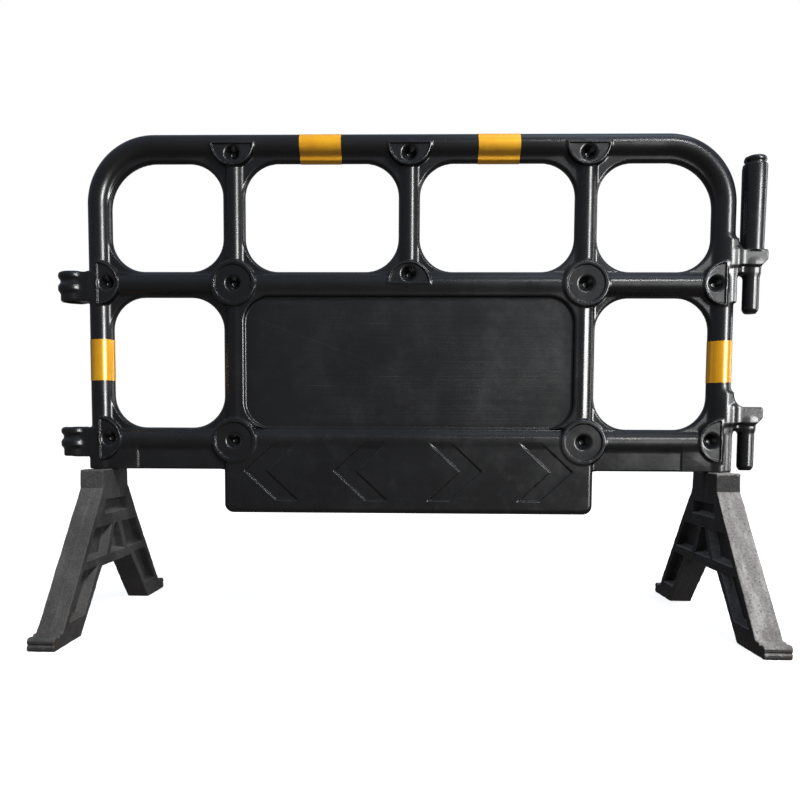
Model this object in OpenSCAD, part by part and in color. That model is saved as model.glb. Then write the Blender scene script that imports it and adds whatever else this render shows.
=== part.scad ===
// Interlocking crowd and traffic barrier: a hollow moulded panel on two removable feet.
// Millimetres. +Z is up, the front face looks along -Y, and the origin is on the ground
// under the middle of the panel.

/* [Panel frame] */
// Width over the two end posts
frame_w = 1100; // [880:10:1400]
// Height of the top rail above the ground
panel_top_z = 825; // [760:5:1000]
// Outer radius of the two rounded top corners
corner_r = 117; // [95:1:150]
// Diameter of the outer hoop: top rail, bends and end posts
hoop_d = 38.2; // [34:0.2:39]
// Diameter of the middle and lower rails
rail_d = 39.4; // [39.2:0.2:44]
// Diameter of the two inner posts
inner_post_d = 33.4; // [30:0.2:36]
// Diameter of the short centre post
centre_post_d = 31.2; // [28:0.2:33]
// Wall thickness of the moulding
wall = 3; // [2.4:0.2:3.6]
// Distance from the centre line to each inner post
inner_post_x = 298.6; // [250:0.2:340]
// Height of the middle rail's axis
middle_rail_z = 574.7; // [550:0.1:600]
// Height of the lower rail's axis
lower_rail_z = 307.9; // [300:0.1:320]

/* [Windows] */
// Width of the flange that edges every window
flange_w = 1.6; // [1:0.2:4]
// Width of the deeper flange under the top rail
top_flange_w = 9; // [4:0.5:14]
// Thickness of the flange and of the corner webs
flange_t = 8; // [6:0.5:12]
// Corner radius of the windows
window_r = 58; // [40:1:64]
// Corner radius of the windows inside the two rounded top corners
corner_window_r = 80; // [66:1:90]

/* [Bonding pads] */
// Radius of the round pad at each crossing
pad_r = 38; // [34:0.5:42]
// Distance from the mid plane of the panel to the face of a pad
pad_half_t = 20.6; // [20.4:0.1:24]
// Distance from the pad's centre to the flat side of a D-shaped pad
pad_flat = 2; // [1:0.5:14]
// Radius of the pit where it opens in the pad's face
pit_r = 13.5; // [10:0.5:16]
// Radius of the floor of the pit
pit_floor_r = 7; // [5:0.5:9]
// Thickness of the bonded floor between the front and the back pit
pit_floor_t = 5; // [4:0.5:8]
// Shift of the pit towards the inside of a D-shaped pad
pit_shift = 16; // [8:1:20]
// Radius of the round groove in a full pad
groove_r = 31; // [28:0.5:33]
// Width and depth of that groove
groove_w = 2; // [1:0.5:2.5]

/* [Advertising board] */
// Height of the lower edge of the board's flat face
board_bottom_z = 330; // [328:1:340]
// Distance between the board's front and back faces
board_t = 20; // [16:1:26]
// Corner radius of the board
board_r = 45; // [25:1:50]
// Thickness of the webs that frame the board's corners
board_web_t = 33; // [28:1:38]

/* [Kick panel] */
// Width of the kick panel
kick_w = 634; // [620:2:700]
// Height of the kick panel's lower edge above the ground
kick_bottom_z = 183.5; // [150:0.5:220]
// Distance between the kick panel's faces
kick_t = 39; // [32:1:40]
// Radius of the kick panel's lower corners
kick_corner_r = 18; // [8:1:24]
// Height of the bevel up to the advertising board
bevel_h = 13; // [8:1:16]
// Width of one arm of an arrow, measured along the panel
arrow_band = 39; // [24:1:44]
// Length of an arrow from its tail to its tip
arrow_l = 94; // [80:1:100]
// Height of an arrow
arrow_h = 103; // [80:1:106]
// Distance from the centre line to the tail of the first arrow
arrow_first_x = 34; // [20:1:44]
// Distance from one arrow to the next
arrow_pitch = 155; // [140:1:158]
// Depth of the arrow recesses
arrow_depth = 1.6; // [0.8:0.2:2.2]

/* [Skirts] */
// Height of the skirts' lower edge above the ground
skirt_bottom_z = 258; // [254:0.5:262]
// Distance between a skirt's faces
skirt_t = 28; // [22:1:34]

/* [Links] */
// Distance from the end post's outer face to the link axis
link_reach = 29.5; // [28:0.5:36]
// Diameter of a link pin
link_pin_d = 27; // [22:0.5:28]
// Play between a link pin and its socket, on the radius
link_play = 1.5; // [0.8:0.1:3]
// Outer radius of a socket's rings
socket_ring_r = 23; // [21:0.5:24]
// Height of a socket
socket_h = 49.5; // [40:0.5:60]
// Depth of the arms and of the sockets' necks, front to back
arm_t = 33; // [30:1:36]
// Distance from the link axis to the end of an arm
arm_end = 23; // [22:0.5:30]
// Height of the upper arm's underside
upper_arm_z = 607; // [600:1:612]
// Height of the upper arm
upper_arm_h = 26; // [20:1:30]
// Height of the lower arm's underside
lower_arm_z = 329; // [326:1:340]
// Height of the lower arm
lower_arm_h = 42; // [30:1:46]
// Length of the upper link pin below its arm
upper_pin_l = 76; // [50:1:90]
// Length of the lower link pin below its arm
lower_pin_l = 68; // [40:1:68]
// Size of the chamfer under an arm's end
arm_chamfer = 8; // [5:1:9]
// How far a flat boss stands out from the end post's face to carry the links
boss_out = 4; // [3:0.5:6]

/* [Lamp post] */
// Diameter of the lamp post
lamp_post_d = 38; // [32:0.5:38]
// Height of the lamp post's shoulder above the ground
lamp_shoulder_z = 779; // [700:1:790]
// Height of the spigot that a warning lamp clips over
lamp_spigot_h = 13; // [8:0.5:18]
// Diameter of that spigot
lamp_spigot_d = 34; // [24:0.5:35]
// Depth of the groove under the spigot, on the radius
lamp_groove = 1.5; // [1:0.25:2.5]

/* [Reflective bands] */
// Distance from the centre line to each band on the top rail
band_x = 150; // [130:1:170]
// Height of the bands on the end posts
band_z = 445; // [430:1:455]
// Width of a band
band_w = 70; // [50:1:80]
// Thickness of a band
band_t = 0.5; // [0.3:0.1:0.8]

/* [Feet] */
// Height of the bearing face on top of the foot
foot_top_z = 257.6; // [253:0.1:257.7]
// Thickness of a foot along the panel
foot_t = 38.4; // [34:0.2:44]
// Distance from the peg's axis to the front of the hub
hub_half = 54.5; // [45:0.5:60]
// Height of the hub block
hub_h = 32; // [25:1:40]
// Distance from the peg's axis to the tip of a toe
toe_half = 244; // [200:1:280]
// Height of the toe
toe_h = 18; // [12:1:24]
// Length of the toe ahead of the leg
toe_l = 30; // [20:1:40]
// Distance from the peg's axis to the inner edge of a sole
sole_half = 143; // [110:1:160]
// Height of the arch between the legs
arch_z = 96; // [70:1:120]
// Distance from the peg's axis to the corner of the arch
arch_half = 58; // [40:1:66]
// Thickness of the rim round the side pockets
foot_rim = 11; // [8:0.5:14]
// Thickness of the middle web between the two side pockets
foot_web_t = 14; // [10:1:20]
// Thickness of the cross ribs in the pockets
foot_rib_t = 9; // [6:0.5:12]
// Height of the upper pocket in a foot's side
upper_pocket_h = 28; // [16:1:32]
// Diameter of the peg under each end post
peg_d = 24; // [20:0.5:25]
// Length of the peg
peg_l = 36; // [28:1:40]
// Play between the peg and its bore, on the radius
peg_play = 0.4; // [0.3:0.1:0.8]
// Free space under the peg's end
peg_end_play = 4; // [2:0.5:8]

/* [Hidden] */
$fn = 64;
arc_steps = 12;             // straight steps in a quarter circle of an outline
over = 1;                   // how far a cutting shape runs past the surface it cuts
lap = 5;                    // how far a corner web runs back into its tubes

// Radii
hoop_r = hoop_d / 2;
rail_r = rail_d / 2;
inner_post_r = inner_post_d / 2;
centre_post_r = centre_post_d / 2;

// Axes
hoop_x = frame_w / 2 - hoop_r;
hoop_z = panel_top_z - hoop_r;
bend_r = corner_r - hoop_r;
link_x = frame_w / 2 + link_reach;
boss_x = frame_w / 2 + boss_out;

// Window edges
window_end_x = hoop_x - hoop_r - flange_w;
window_outer_x = inner_post_x + inner_post_r + flange_w;
window_inner_x = inner_post_x - inner_post_r - flange_w;
window_centre_x = centre_post_r + flange_w;
window_top_z = hoop_z - hoop_r - top_flange_w;
middle_up_z = middle_rail_z + rail_r + flange_w;
middle_down_z = middle_rail_z - rail_r - flange_w;
lower_up_z = lower_rail_z + rail_r + flange_w;

// Where the joints end and the plain tubes begin
end_cut_x = window_end_x - window_r;
outer_cut_x = window_outer_x + window_r;
inner_cut_x = window_inner_x - window_r;
centre_cut_x = window_centre_x + window_r;
top_cut_z = window_top_z - window_r;
middle_up_cut_z = middle_up_z + window_r;
middle_down_cut_z = middle_down_z - window_r;
lower_cut_z = lower_up_z + window_r;

// Kick panel and the square seats of the two lower pads in its top corners
kick_x = kick_w / 2;
seat_x = inner_post_x - pad_r - 2;
seat_z = lower_rail_z - pad_r - 2;
bevel_bottom_z = board_bottom_z - bevel_h;
arrow_z = (kick_bottom_z + board_bottom_z) / 2 - 1;

// Links and feet
socket_r = link_pin_d / 2 + link_play;
upper_socket_z = middle_rail_z - socket_h / 2 - 5;
lower_socket_z = lower_rail_z - socket_h / 2 - 3.5;
socket_core_r = socket_ring_r - 3.5;
arm_tip_x = link_x + arm_end;
lamp_groove_h = 3;
peg_wall = 3.5;
hub_bottom_z = foot_top_z - hub_h;
bore_r = peg_d / 2 + peg_play;
bore_bottom_z = skirt_bottom_z - peg_l - peg_end_play;
leg_end_y = toe_half - toe_l;
pin_neck = 3;               // height of the flare at the top of a link pin
pin_tip = 7;                // height of the taper at its end
peg_tip = 3;                // height of the taper at the end of a foot peg

// Heights of the pockets in a foot's sides, from the top down
pocket_top_z = bore_bottom_z - 5;
pocket_mid_z = pocket_top_z - upper_pocket_h;
pocket_low_z = arch_z + foot_rim;
leg_pocket_top_z = arch_z - foot_rib_t / 2;
leg_pocket_bottom_z = toe_h + foot_rim;
leg_rim = foot_rim * 1.3;   // the rim measured along Y, across the leg's slope
pocket_depth = (foot_t - foot_web_t) / 2 + over;
toe_chamfer = 4;

// Reflective bands
band_play = 0.1;
band_slot = flange_t + 0.4;

// Colours
moulding_black = [0.09, 0.09, 0.10];
foot_grey = [0.24, 0.23, 0.24];
band_amber = [0.98, 0.66, 0.08];

// ---------- building blocks ----------

// A round bar along X
module bar_x(x0, x1, z, r)
    translate([x0, 0, z]) rotate([0, 90, 0]) cylinder(h = x1 - x0, r = r);

// A round bar along Z
module bar_z(x, z0, z1, r)
    translate([x, 0, z0]) cylinder(h = z1 - z0, r = r);

// A flat plate in the panel's mid plane
module plate(x0, x1, z0, z1, t)
    translate([x0, -t / 2, z0]) cube([x1 - x0, t, z1 - z0]);

// An outline in X and Z, given thickness along Y
module slab(points, t)
    rotate([90, 0, 0]) linear_extrude(t, center = true) polygon(points);

// Points of a quarter circle from the angle a round the centre c
function quarter(c, r, a) =
    [for (i = [0:arc_steps]) c + r * [cos(a + 90 * i / arc_steps), sin(a + 90 * i / arc_steps)]];

// The web that rounds off one corner of a window. (x, z) is the sharp corner, and sx and sz
// say on which side of it the window lies. lap_z is how far it runs back into the rail.
function web_outline(x, z, sx, sz, r, lap_z) = concat(
    [for (i = [0:arc_steps])
        [x + sx * r * (1 - cos(90 * i / arc_steps)), z + sz * r * (1 - sin(90 * i / arc_steps))]],
    lap_z > 0 ? [[x + sx * r, z - sz * lap_z]] : [],
    [[x - sx * lap, z - sz * lap_z], [x - sx * lap, z + sz * r]]);

module corner_web(x, z, sx, sz, r = window_r, t = flange_t, lap_z = lap)
    slab(web_outline(x, z, sx, sz, r, lap_z), t);

// A pad: a disc across the panel. flat = [direction x, direction z] cuts it to a D.
module pad_body(x, z, r, half_t, flat, flat_at)
    intersection() {
        translate([x, half_t, z]) rotate([90, 0, 0]) cylinder(h = 2 * half_t, r = r);
        translate([x - flat[0] * (r - flat_at + over) / 2, 0, z - flat[1] * (r - flat_at + over) / 2])
            cube([2 * r + 2 * over - abs(flat[0]) * (r - flat_at + over),
                  2 * half_t + over,
                  2 * r + 2 * over - abs(flat[1]) * (r - flat_at + over)], center = true);
    }

// The two cone-shaped pits of a pad, meeting at its bonded floor
module pits(x, z)
    for (side = [-1, 1])
        translate([x, side * pit_floor_t / 2, z]) rotate([-90 * side, 0, 0])
            cylinder(h = pad_half_t, r1 = pit_floor_r,
                r2 = pit_floor_r + (pit_r - pit_floor_r) * pad_half_t / (pad_half_t - pit_floor_t / 2));

// The round grooves in the two faces of a full pad
module grooves(x, z)
    for (side = [-1, 1])
        translate([x, side * pad_half_t, z]) rotate([90, 0, 0])
            difference() {
                cylinder(h = 2 * groove_w, r = groove_r + groove_w / 2, center = true);
                cylinder(h = 3 * groove_w, r = groove_r - groove_w / 2, center = true);
            }

// A crossing of a rail and a post. left, right, up and down are the lengths of its arms.
// The first child is added to the outside of the moulding and the second, if there is one, to
// its cavity. flat points to the flat side of a D-shaped pad, and floor_t closes the lower arm.
module crossing(x, z, rr, pr, left, right, up, down, flat = [0, 0], floor_t = -over) {
    px = x - flat[0] * pit_shift;
    pz = z - flat[1] * pit_shift;
    difference() {
        union() {
            bar_x(x - left, x + right, z, rr);
            bar_z(x, z - down, z + up, pr);
            pad_body(x, z, pad_r, pad_half_t, flat, pad_flat);
            children(0);
        }
        difference() {
            union() {
                bar_x(x - left - over, x + right + over, z, rr - wall);
                bar_z(x, z - down + floor_t, z + up + over, pr - wall);
                pad_body(x, z, pad_r - wall, pad_half_t - wall, flat, pad_flat - wall);
                if ($children > 1) children(1);
            }
            translate([px, pad_half_t, pz]) rotate([90, 0, 0])
                cylinder(h = 2 * pad_half_t, r = pit_r + wall);
        }
        pits(px, pz);
        if (flat == [0, 0]) grooves(x, z);
    }
}

// The flanges along the arms of a crossing
module cross_flanges(x, z, left, right, up, down, half_x, up_x, down_x)
    union() {
        if (left + right > 0) plate(x - left, x + right, z - down_x, z + up_x, flange_t);
        plate(x - half_x[0], x + half_x[1], z - down, z + up, flange_t);
    }

// A plain length of post with a flange of width fl on its left and fr on its right
module post(x, z0, z1, r, fl, fr)
    difference() {
        union() {
            bar_z(x, z0, z1, r);
            plate(x - (fl > 0 ? r + fl : 0), x + (fr > 0 ? r + fr : 0), z0, z1, flange_t);
        }
        bar_z(x, z0 - over, z1 + over, r - wall);
    }

// A plain length of rail with a flange of width fd below and fu above
module rail(x0, x1, z, r, fd, fu)
    difference() {
        union() {
            bar_x(x0, x1, z, r);
            plate(x0, x1, z - (fd > 0 ? r + fd : 0), z + (fu > 0 ? r + fu : 0), flange_t);
        }
        bar_x(x0 - over, x1 + over, z, r - wall);
    }

module mirrored() mirror([1, 0, 0]) children();

// ---------- top rail ----------

module top_corner_right()
    color(moulding_black) difference() {
        union() {
            hoop_bend(hoop_r);
            bar_z(hoop_x, middle_up_cut_z, hoop_z - bend_r, hoop_r);
            bar_x(outer_cut_x, hoop_x - bend_r, hoop_z, hoop_r);
            plate(window_end_x, hoop_x, middle_up_cut_z, hoop_z - bend_r, flange_t);
            plate(outer_cut_x, hoop_x - bend_r, window_top_z, hoop_z, flange_t);
            slab(bend_web_outline(), flange_t);
        }
        hoop_bend(hoop_r - wall);
        bar_z(hoop_x, middle_up_cut_z - over, hoop_z - bend_r, hoop_r - wall);
        bar_x(outer_cut_x - over, hoop_x - bend_r, hoop_z, hoop_r - wall);
    }

module top_corner_left() mirrored() top_corner_right();

// The web inside the bend, from the bend's centre line to the window's rounded corner
function bend_web_outline() = concat(
    quarter([hoop_x - bend_r, hoop_z - bend_r], bend_r, 0),
    [for (i = [0:arc_steps])
        [window_end_x - corner_window_r * (1 - sin(90 * i / arc_steps)),
         window_top_z - corner_window_r * (1 - cos(90 * i / arc_steps))]]);

// The bend of the hoop at the right-hand corner
module hoop_bend(r)
    translate([hoop_x - bend_r, 0, hoop_z - bend_r]) rotate([90, 0, 0])
        rotate_extrude(angle = 90) translate([bend_r, 0]) circle(r);

// A crossing under the top rail, with its D-shaped pad's flat side up
module top_joint(x, pr) {
    reach = pr + flange_w + window_r;
    half = pr + flange_w;
    depth = hoop_z - top_cut_z;
    color(moulding_black)
        crossing(x, hoop_z, hoop_r, pr, reach, reach, 0, depth, flat = [0, 1])
            union() {
                cross_flanges(x, hoop_z, reach, reach, 0, depth, [half, half], 0,
                    hoop_z - window_top_z);
                corner_web(x + half, window_top_z, 1, -1);
                corner_web(x - half, window_top_z, -1, -1);
            }
}

module top_joint_right() top_joint(inner_post_x, inner_post_r);
module top_joint_centre() top_joint(0, centre_post_r);
module top_joint_left() mirrored() top_joint_right();

module top_rail_right()
    color(moulding_black) rail(centre_cut_x, inner_cut_x, hoop_z, hoop_r, top_flange_w, 0);

module top_rail_left() mirrored() top_rail_right();

// ---------- posts ----------

module inner_post_upper_right()
    color(moulding_black)
        post(inner_post_x, middle_up_cut_z, top_cut_z, inner_post_r, flange_w, flange_w);

module inner_post_upper_left() mirrored() inner_post_upper_right();

module centre_post()
    color(moulding_black) post(0, middle_up_cut_z, top_cut_z, centre_post_r, flange_w, flange_w);

module inner_post_lower_right()
    color(moulding_black)
        post(inner_post_x, lower_cut_z, middle_down_cut_z, inner_post_r, flange_w, flange_w);

module inner_post_lower_left() mirrored() inner_post_lower_right();

module end_post_lower_right()
    color(moulding_black) post(hoop_x, lower_cut_z, middle_down_cut_z, hoop_r, flange_w, 0);

module end_post_lower_left() mirrored() end_post_lower_right();

// ---------- middle rail ----------

// The crossing of the middle rail and the right-hand end post. boss_z0 and boss_z1 are the
// lowest and highest points of the flat boss that carries a link.
module middle_end_joint(boss_z0, boss_z1) {
    left = hoop_x - end_cut_x;
    half = hoop_x - window_end_x;
    up = middle_up_cut_z - middle_rail_z;
    down = middle_rail_z - middle_down_cut_z;
    color(moulding_black)
        crossing(hoop_x, middle_rail_z, rail_r, hoop_r, left, 0, up, down, flat = [1, 0])
            union() {
                cross_flanges(hoop_x, middle_rail_z, left, 0, up, down, [half, 0],
                    rail_r + flange_w, rail_r + flange_w);
                corner_web(window_end_x, middle_up_z, -1, 1);
                corner_web(window_end_x, middle_down_z, -1, -1);
                plate(hoop_x, boss_x, boss_z0, boss_z1, arm_t);
            }
}

module middle_end_joint_right() middle_end_joint(upper_arm_z, upper_arm_z + upper_arm_h);
module middle_end_joint_left()
    mirrored() middle_end_joint(upper_socket_z, upper_socket_z + socket_h);

module middle_joint_right() {
    half = inner_post_r + flange_w;
    reach = half + window_r;
    up = middle_up_cut_z - middle_rail_z;
    down = middle_rail_z - middle_down_cut_z;
    color(moulding_black)
        crossing(inner_post_x, middle_rail_z, rail_r, inner_post_r, reach, reach, up, down)
            union() {
                cross_flanges(inner_post_x, middle_rail_z, reach, reach, up, down, [half, half],
                    rail_r + flange_w, rail_r + flange_w);
                corner_web(window_outer_x, middle_up_z, 1, 1);
                corner_web(window_inner_x, middle_up_z, -1, 1);
                corner_web(window_outer_x, middle_down_z, 1, -1);
                corner_web(window_inner_x, middle_down_z, -1, -1, board_r, board_web_t);
            }
}

module middle_joint_left() mirrored() middle_joint_right();

module middle_joint_centre() {
    half = centre_post_r + flange_w;
    reach = half + window_r;
    up = middle_up_cut_z - middle_rail_z;
    color(moulding_black)
        crossing(0, middle_rail_z, rail_r, centre_post_r, reach, reach, up, 0, flat = [0, -1])
            union() {
                cross_flanges(0, middle_rail_z, reach, reach, up, 0, [half, half],
                    rail_r + flange_w, rail_r + flange_w);
                corner_web(window_centre_x, middle_up_z, 1, 1);
                corner_web(-window_centre_x, middle_up_z, -1, 1);
            }
}

module middle_rail_right()
    color(moulding_black) rail(centre_cut_x, inner_cut_x, middle_rail_z, rail_r, flange_w, flange_w);

module middle_rail_left() mirrored() middle_rail_right();

module middle_rail_outer_right()
    color(moulding_black) rail(outer_cut_x, end_cut_x, middle_rail_z, rail_r, flange_w, flange_w);

module middle_rail_outer_left() mirrored() middle_rail_outer_right();

// ---------- lower rail, skirts and kick panel ----------

// A length of skirt under the lower rail, and the hollow inside it
module skirt(x0, x1) plate(x0, x1, skirt_bottom_z, lower_rail_z, skirt_t);
module skirt_cavity(x0, x1)
    plate(x0, x1, skirt_bottom_z + wall, lower_rail_z, skirt_t - 2 * wall);

module lower_rail_right()
    color(moulding_black) difference() {
        union() {
            bar_x(outer_cut_x, end_cut_x, lower_rail_z, rail_r);
            plate(outer_cut_x, end_cut_x, lower_rail_z, lower_up_z, flange_t);
            skirt(outer_cut_x, end_cut_x);
        }
        bar_x(outer_cut_x - over, end_cut_x + over, lower_rail_z, rail_r - wall);
        skirt_cavity(outer_cut_x - over, end_cut_x + over);
    }

module lower_rail_left() mirrored() lower_rail_right();

// The crossing of the lower rail and the right-hand end post, with the shoulder that
// stands on the foot
module lower_end_joint(boss_z0, boss_z1) {
    left = hoop_x - end_cut_x;
    half = hoop_x - window_end_x;
    up = lower_cut_z - lower_rail_z;
    down = lower_rail_z - skirt_bottom_z;
    color(moulding_black)
        crossing(hoop_x, lower_rail_z, rail_r, hoop_r, left, 0, up, down, flat = [1, 0],
            floor_t = wall) {
            union() {
                cross_flanges(hoop_x, lower_rail_z, left, 0, up, down, [half, 0],
                    rail_r + flange_w, 0);
                corner_web(window_end_x, lower_up_z, -1, 1);
                plate(hoop_x, boss_x, boss_z0, boss_z1, arm_t);
                skirt(end_cut_x, hoop_x);
            }
            skirt_cavity(end_cut_x - over, hoop_x);
        }
}

module lower_end_joint_right() lower_end_joint(lower_arm_z, lower_arm_z + lower_arm_h);
module lower_end_joint_left()
    mirrored() lower_end_joint(lower_socket_z, lower_socket_z + socket_h);

module lower_joint_right() {
    half = inner_post_r + flange_w;
    right = outer_cut_x - inner_post_x;
    up = lower_cut_z - lower_rail_z;
    color(moulding_black) difference() {
        crossing(inner_post_x, lower_rail_z, rail_r, inner_post_r, 0, right, up, 0) {
            union() {
                cross_flanges(inner_post_x, lower_rail_z, 0, right, up, 0, [half, half],
                    rail_r + flange_w, 0);
                corner_web(window_outer_x, lower_up_z, 1, 1);
                corner_web(window_inner_x, board_bottom_z, -1, 1, board_r, board_web_t, 0);
                plate(seat_x, kick_x, seat_z, board_bottom_z, kick_t);
                skirt(kick_x, outer_cut_x);
            }
            union() {
                plate(seat_x + wall, kick_x - wall, seat_z + wall, board_bottom_z - wall,
                    kick_t - 2 * wall);
                skirt_cavity(kick_x, outer_cut_x + over);
            }
        }
        arrows();
    }
}

module lower_joint_left() mirrored() lower_joint_right();

// One arrow's outline, pointing right, with the middle of its tail at the origin
function arrow_outline() = [
    [0, arrow_h / 2], [arrow_band, arrow_h / 2], [arrow_l, 0],
    [arrow_band, -arrow_h / 2], [0, -arrow_h / 2], [arrow_l - arrow_band, 0]
];

// The recesses of the four arrows on both faces. They point away from the middle.
module arrows()
    for (side = [-1, 1], face = [-1, 1], x = [arrow_first_x, arrow_first_x + arrow_pitch])
        translate([side * x, face * kick_t / 2, arrow_z])
            slab([for (p = arrow_outline()) [side * p[0], p[1]]], 2 * arrow_depth);

module kick_panel()
    color(moulding_black) difference() {
        intersection() {
            slab(kick_outline(), kick_t + 2 * over);
            kick_section(kick_t / 2, board_t / 2, kick_bottom_z, board_bottom_z);
        }
        for (side = [-1, 1])
            translate([side * (seat_x + kick_x) / 2, 0, (seat_z + board_bottom_z) / 2])
                cube([kick_x - seat_x, kick_t + 2 * over, board_bottom_z - seat_z], center = true);
        kick_cavity();
        arrows();
    }

// The outline of the kick panel in X and Z
function kick_outline() = concat(
    [[kick_x, board_bottom_z], [-kick_x, board_bottom_z]],
    quarter([-kick_x + kick_corner_r, kick_bottom_z + kick_corner_r], kick_corner_r, 180),
    quarter([kick_x - kick_corner_r, kick_bottom_z + kick_corner_r], kick_corner_r, 270));

// The section of the kick panel in Y and Z, up to the foot of the board
module kick_section(half_low, half_high, z0, z1)
    rotate([90, 0, 90]) linear_extrude(kick_w + 2 * over, center = true)
        polygon([[-half_low, z0], [half_low, z0], [half_low, bevel_bottom_z],
                 [half_high, z1], [-half_high, z1], [-half_low, bevel_bottom_z]]);

module kick_cavity() {
    plate(-kick_x + wall, kick_x - wall, kick_bottom_z + kick_corner_r, seat_z - wall,
        kick_t - 2 * wall);
    plate(-kick_x + kick_corner_r, kick_x - kick_corner_r, kick_bottom_z + wall,
        kick_bottom_z + kick_corner_r + over, kick_t - 2 * wall);
    plate(-seat_x + wall, seat_x - wall, seat_z - wall - over, bevel_bottom_z - over,
        kick_t - 2 * wall);
    plate(-seat_x + wall, seat_x - wall, bevel_bottom_z - 2 * over, board_bottom_z + over,
        board_t - 2 * wall);
}

// ---------- advertising board ----------

module advertising_board()
    color(moulding_black) difference() {
        slab(board_outline(), board_t);
        plate(-window_inner_x + board_r + wall, window_inner_x - board_r - wall,
            board_bottom_z - over, middle_down_z - wall, board_t - 2 * wall);
    }

function board_outline() = concat(
    quarter([window_inner_x - board_r, middle_down_z - board_r], board_r, 0),
    quarter([-window_inner_x + board_r, middle_down_z - board_r], board_r, 90),
    quarter([-window_inner_x + board_r, board_bottom_z + board_r], board_r, 180),
    quarter([window_inner_x - board_r, board_bottom_z + board_r], board_r, 270));

// ---------- links ----------

// A socket's outline of revolution, from its foot up, with two rings
function socket_profile(h) = [
    [0, 0], [socket_core_r - 2, 0], [socket_core_r, 2], [socket_core_r, 0.12 * h],
    [socket_ring_r, 0.24 * h], [socket_ring_r, 0.44 * h], [socket_core_r, 0.54 * h],
    [socket_core_r, 0.66 * h], [socket_ring_r, 0.76 * h], [socket_ring_r, 0.96 * h],
    [socket_ring_r - 2, h], [0, h]
];

module socket(z)
    color(moulding_black) difference() {
        union() {
            translate([-link_x, 0, z]) rotate_extrude() polygon(socket_profile(socket_h));
            plate(-link_x, -boss_x, z, z + socket_h, arm_t);
        }
        bar_z(-link_x, z - over, z + socket_h + over, socket_r);
    }

module upper_socket() socket(upper_socket_z);
module lower_socket() socket(lower_socket_z);

// An arm with chamfered corners at its end
module link_arm(z, h)
    color(moulding_black)
        slab([[boss_x, z], [arm_tip_x - arm_chamfer, z], [arm_tip_x, z + arm_chamfer],
              [arm_tip_x, z + h - arm_chamfer / 3], [arm_tip_x - arm_chamfer / 3, z + h],
              [boss_x, z + h]], arm_t);

module upper_link_arm() link_arm(upper_arm_z, upper_arm_h);
module lower_link_arm() link_arm(lower_arm_z, lower_arm_h);

// A pin that hangs from an arm, with a flared neck and a tapered tip
module link_pin(z, l)
    color(moulding_black) union() {
        bar_z(link_x, z - l + pin_tip, z, link_pin_d / 2);
        translate([link_x, 0, z - pin_neck])
            cylinder(h = pin_neck, r1 = link_pin_d / 2 - 0.5, r2 = link_pin_d / 2 + pin_neck - 0.5);
        translate([link_x, 0, z - l])
            cylinder(h = pin_tip, r1 = link_pin_d / 2 - pin_tip / 2, r2 = link_pin_d / 2);
    }

module upper_link_pin() link_pin(upper_arm_z, upper_pin_l);
module lower_link_pin() link_pin(lower_arm_z, lower_pin_l);

// ---------- lamp post ----------

module lamp_post() {
    base_z = upper_arm_z + upper_arm_h;
    neck_r = lamp_spigot_d / 2 - lamp_groove;
    color(moulding_black) difference() {
        union() {
            bar_z(link_x, base_z, lamp_shoulder_z, lamp_post_d / 2);
            bar_z(link_x, lamp_shoulder_z - over, lamp_shoulder_z + lamp_groove_h, neck_r);
            translate([link_x, 0, lamp_shoulder_z + lamp_groove_h])
                cylinder(h = lamp_spigot_h - lamp_groove_h, r1 = lamp_spigot_d / 2,
                    r2 = lamp_spigot_d / 2 - 2);
        }
        bar_z(link_x, base_z - over, lamp_shoulder_z - wall, lamp_post_d / 2 - wall);
    }
}

// ---------- pegs and feet ----------

module right_foot_peg()
    color(moulding_black) difference() {
        union() {
            bar_z(hoop_x, skirt_bottom_z - peg_l + peg_tip, skirt_bottom_z, peg_d / 2);
            translate([hoop_x, 0, skirt_bottom_z - peg_l])
                cylinder(h = peg_tip, r1 = peg_d / 2 - peg_tip / 2, r2 = peg_d / 2);
        }
        bar_z(hoop_x, skirt_bottom_z - peg_l + peg_wall + peg_tip, skirt_bottom_z + over,
            peg_d / 2 - peg_wall);
    }

module left_foot_peg() mirrored() right_foot_peg();

// How far the outer and the inner edge of a leg lie from the peg's axis at the height z
function leg_out(z) =
    hub_half + (leg_end_y - hub_half) * (hub_bottom_z - z) / (hub_bottom_z - toe_h);
function leg_in(z) = sole_half + (arch_half - sole_half) * z / arch_z;

function half_foot() = [
    [hub_half, foot_top_z], [hub_half, hub_bottom_z], [leg_end_y, toe_h],
    [toe_half - toe_chamfer, toe_h], [toe_half, toe_h - toe_chamfer],
    [toe_half, toe_chamfer], [toe_half - toe_chamfer, 0], [sole_half, 0], [arch_half, arch_z]
];
function foot_outline() = concat(
    half_foot(), [for (i = [len(half_foot()) - 1:-1:0]) [-half_foot()[i][0], half_foot()[i][1]]]);

// An outline in Y and Z, given thickness along X
module foot_slab(points, t)
    rotate([90, 0, 90]) linear_extrude(t, center = true) polygon(points);

// A pocket across the whole foot between two heights
function wide_pocket(z0, z1) = [
    [-leg_out(z0) + leg_rim, z0], [leg_out(z0) - leg_rim, z0],
    [leg_out(z1) - leg_rim, z1], [-leg_out(z1) + leg_rim, z1]
];
// A pocket inside one leg
function leg_pocket(z0, z1, side) = [
    [side * (leg_in(z0) + leg_rim), z0], [side * (leg_out(z0) - leg_rim), z0],
    [side * (leg_out(z1) - leg_rim), z1], [side * (leg_in(z1) + leg_rim), z1]
];

module right_foot()
    color(foot_grey) translate([hoop_x, 0, 0]) difference() {
        foot_slab(foot_outline(), foot_t);
        for (side = [-1, 1])
            translate([side * (foot_web_t + pocket_depth) / 2, 0, 0]) foot_pockets();
        bar_z(0, bore_bottom_z, foot_top_z + over, bore_r);
    }

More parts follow.
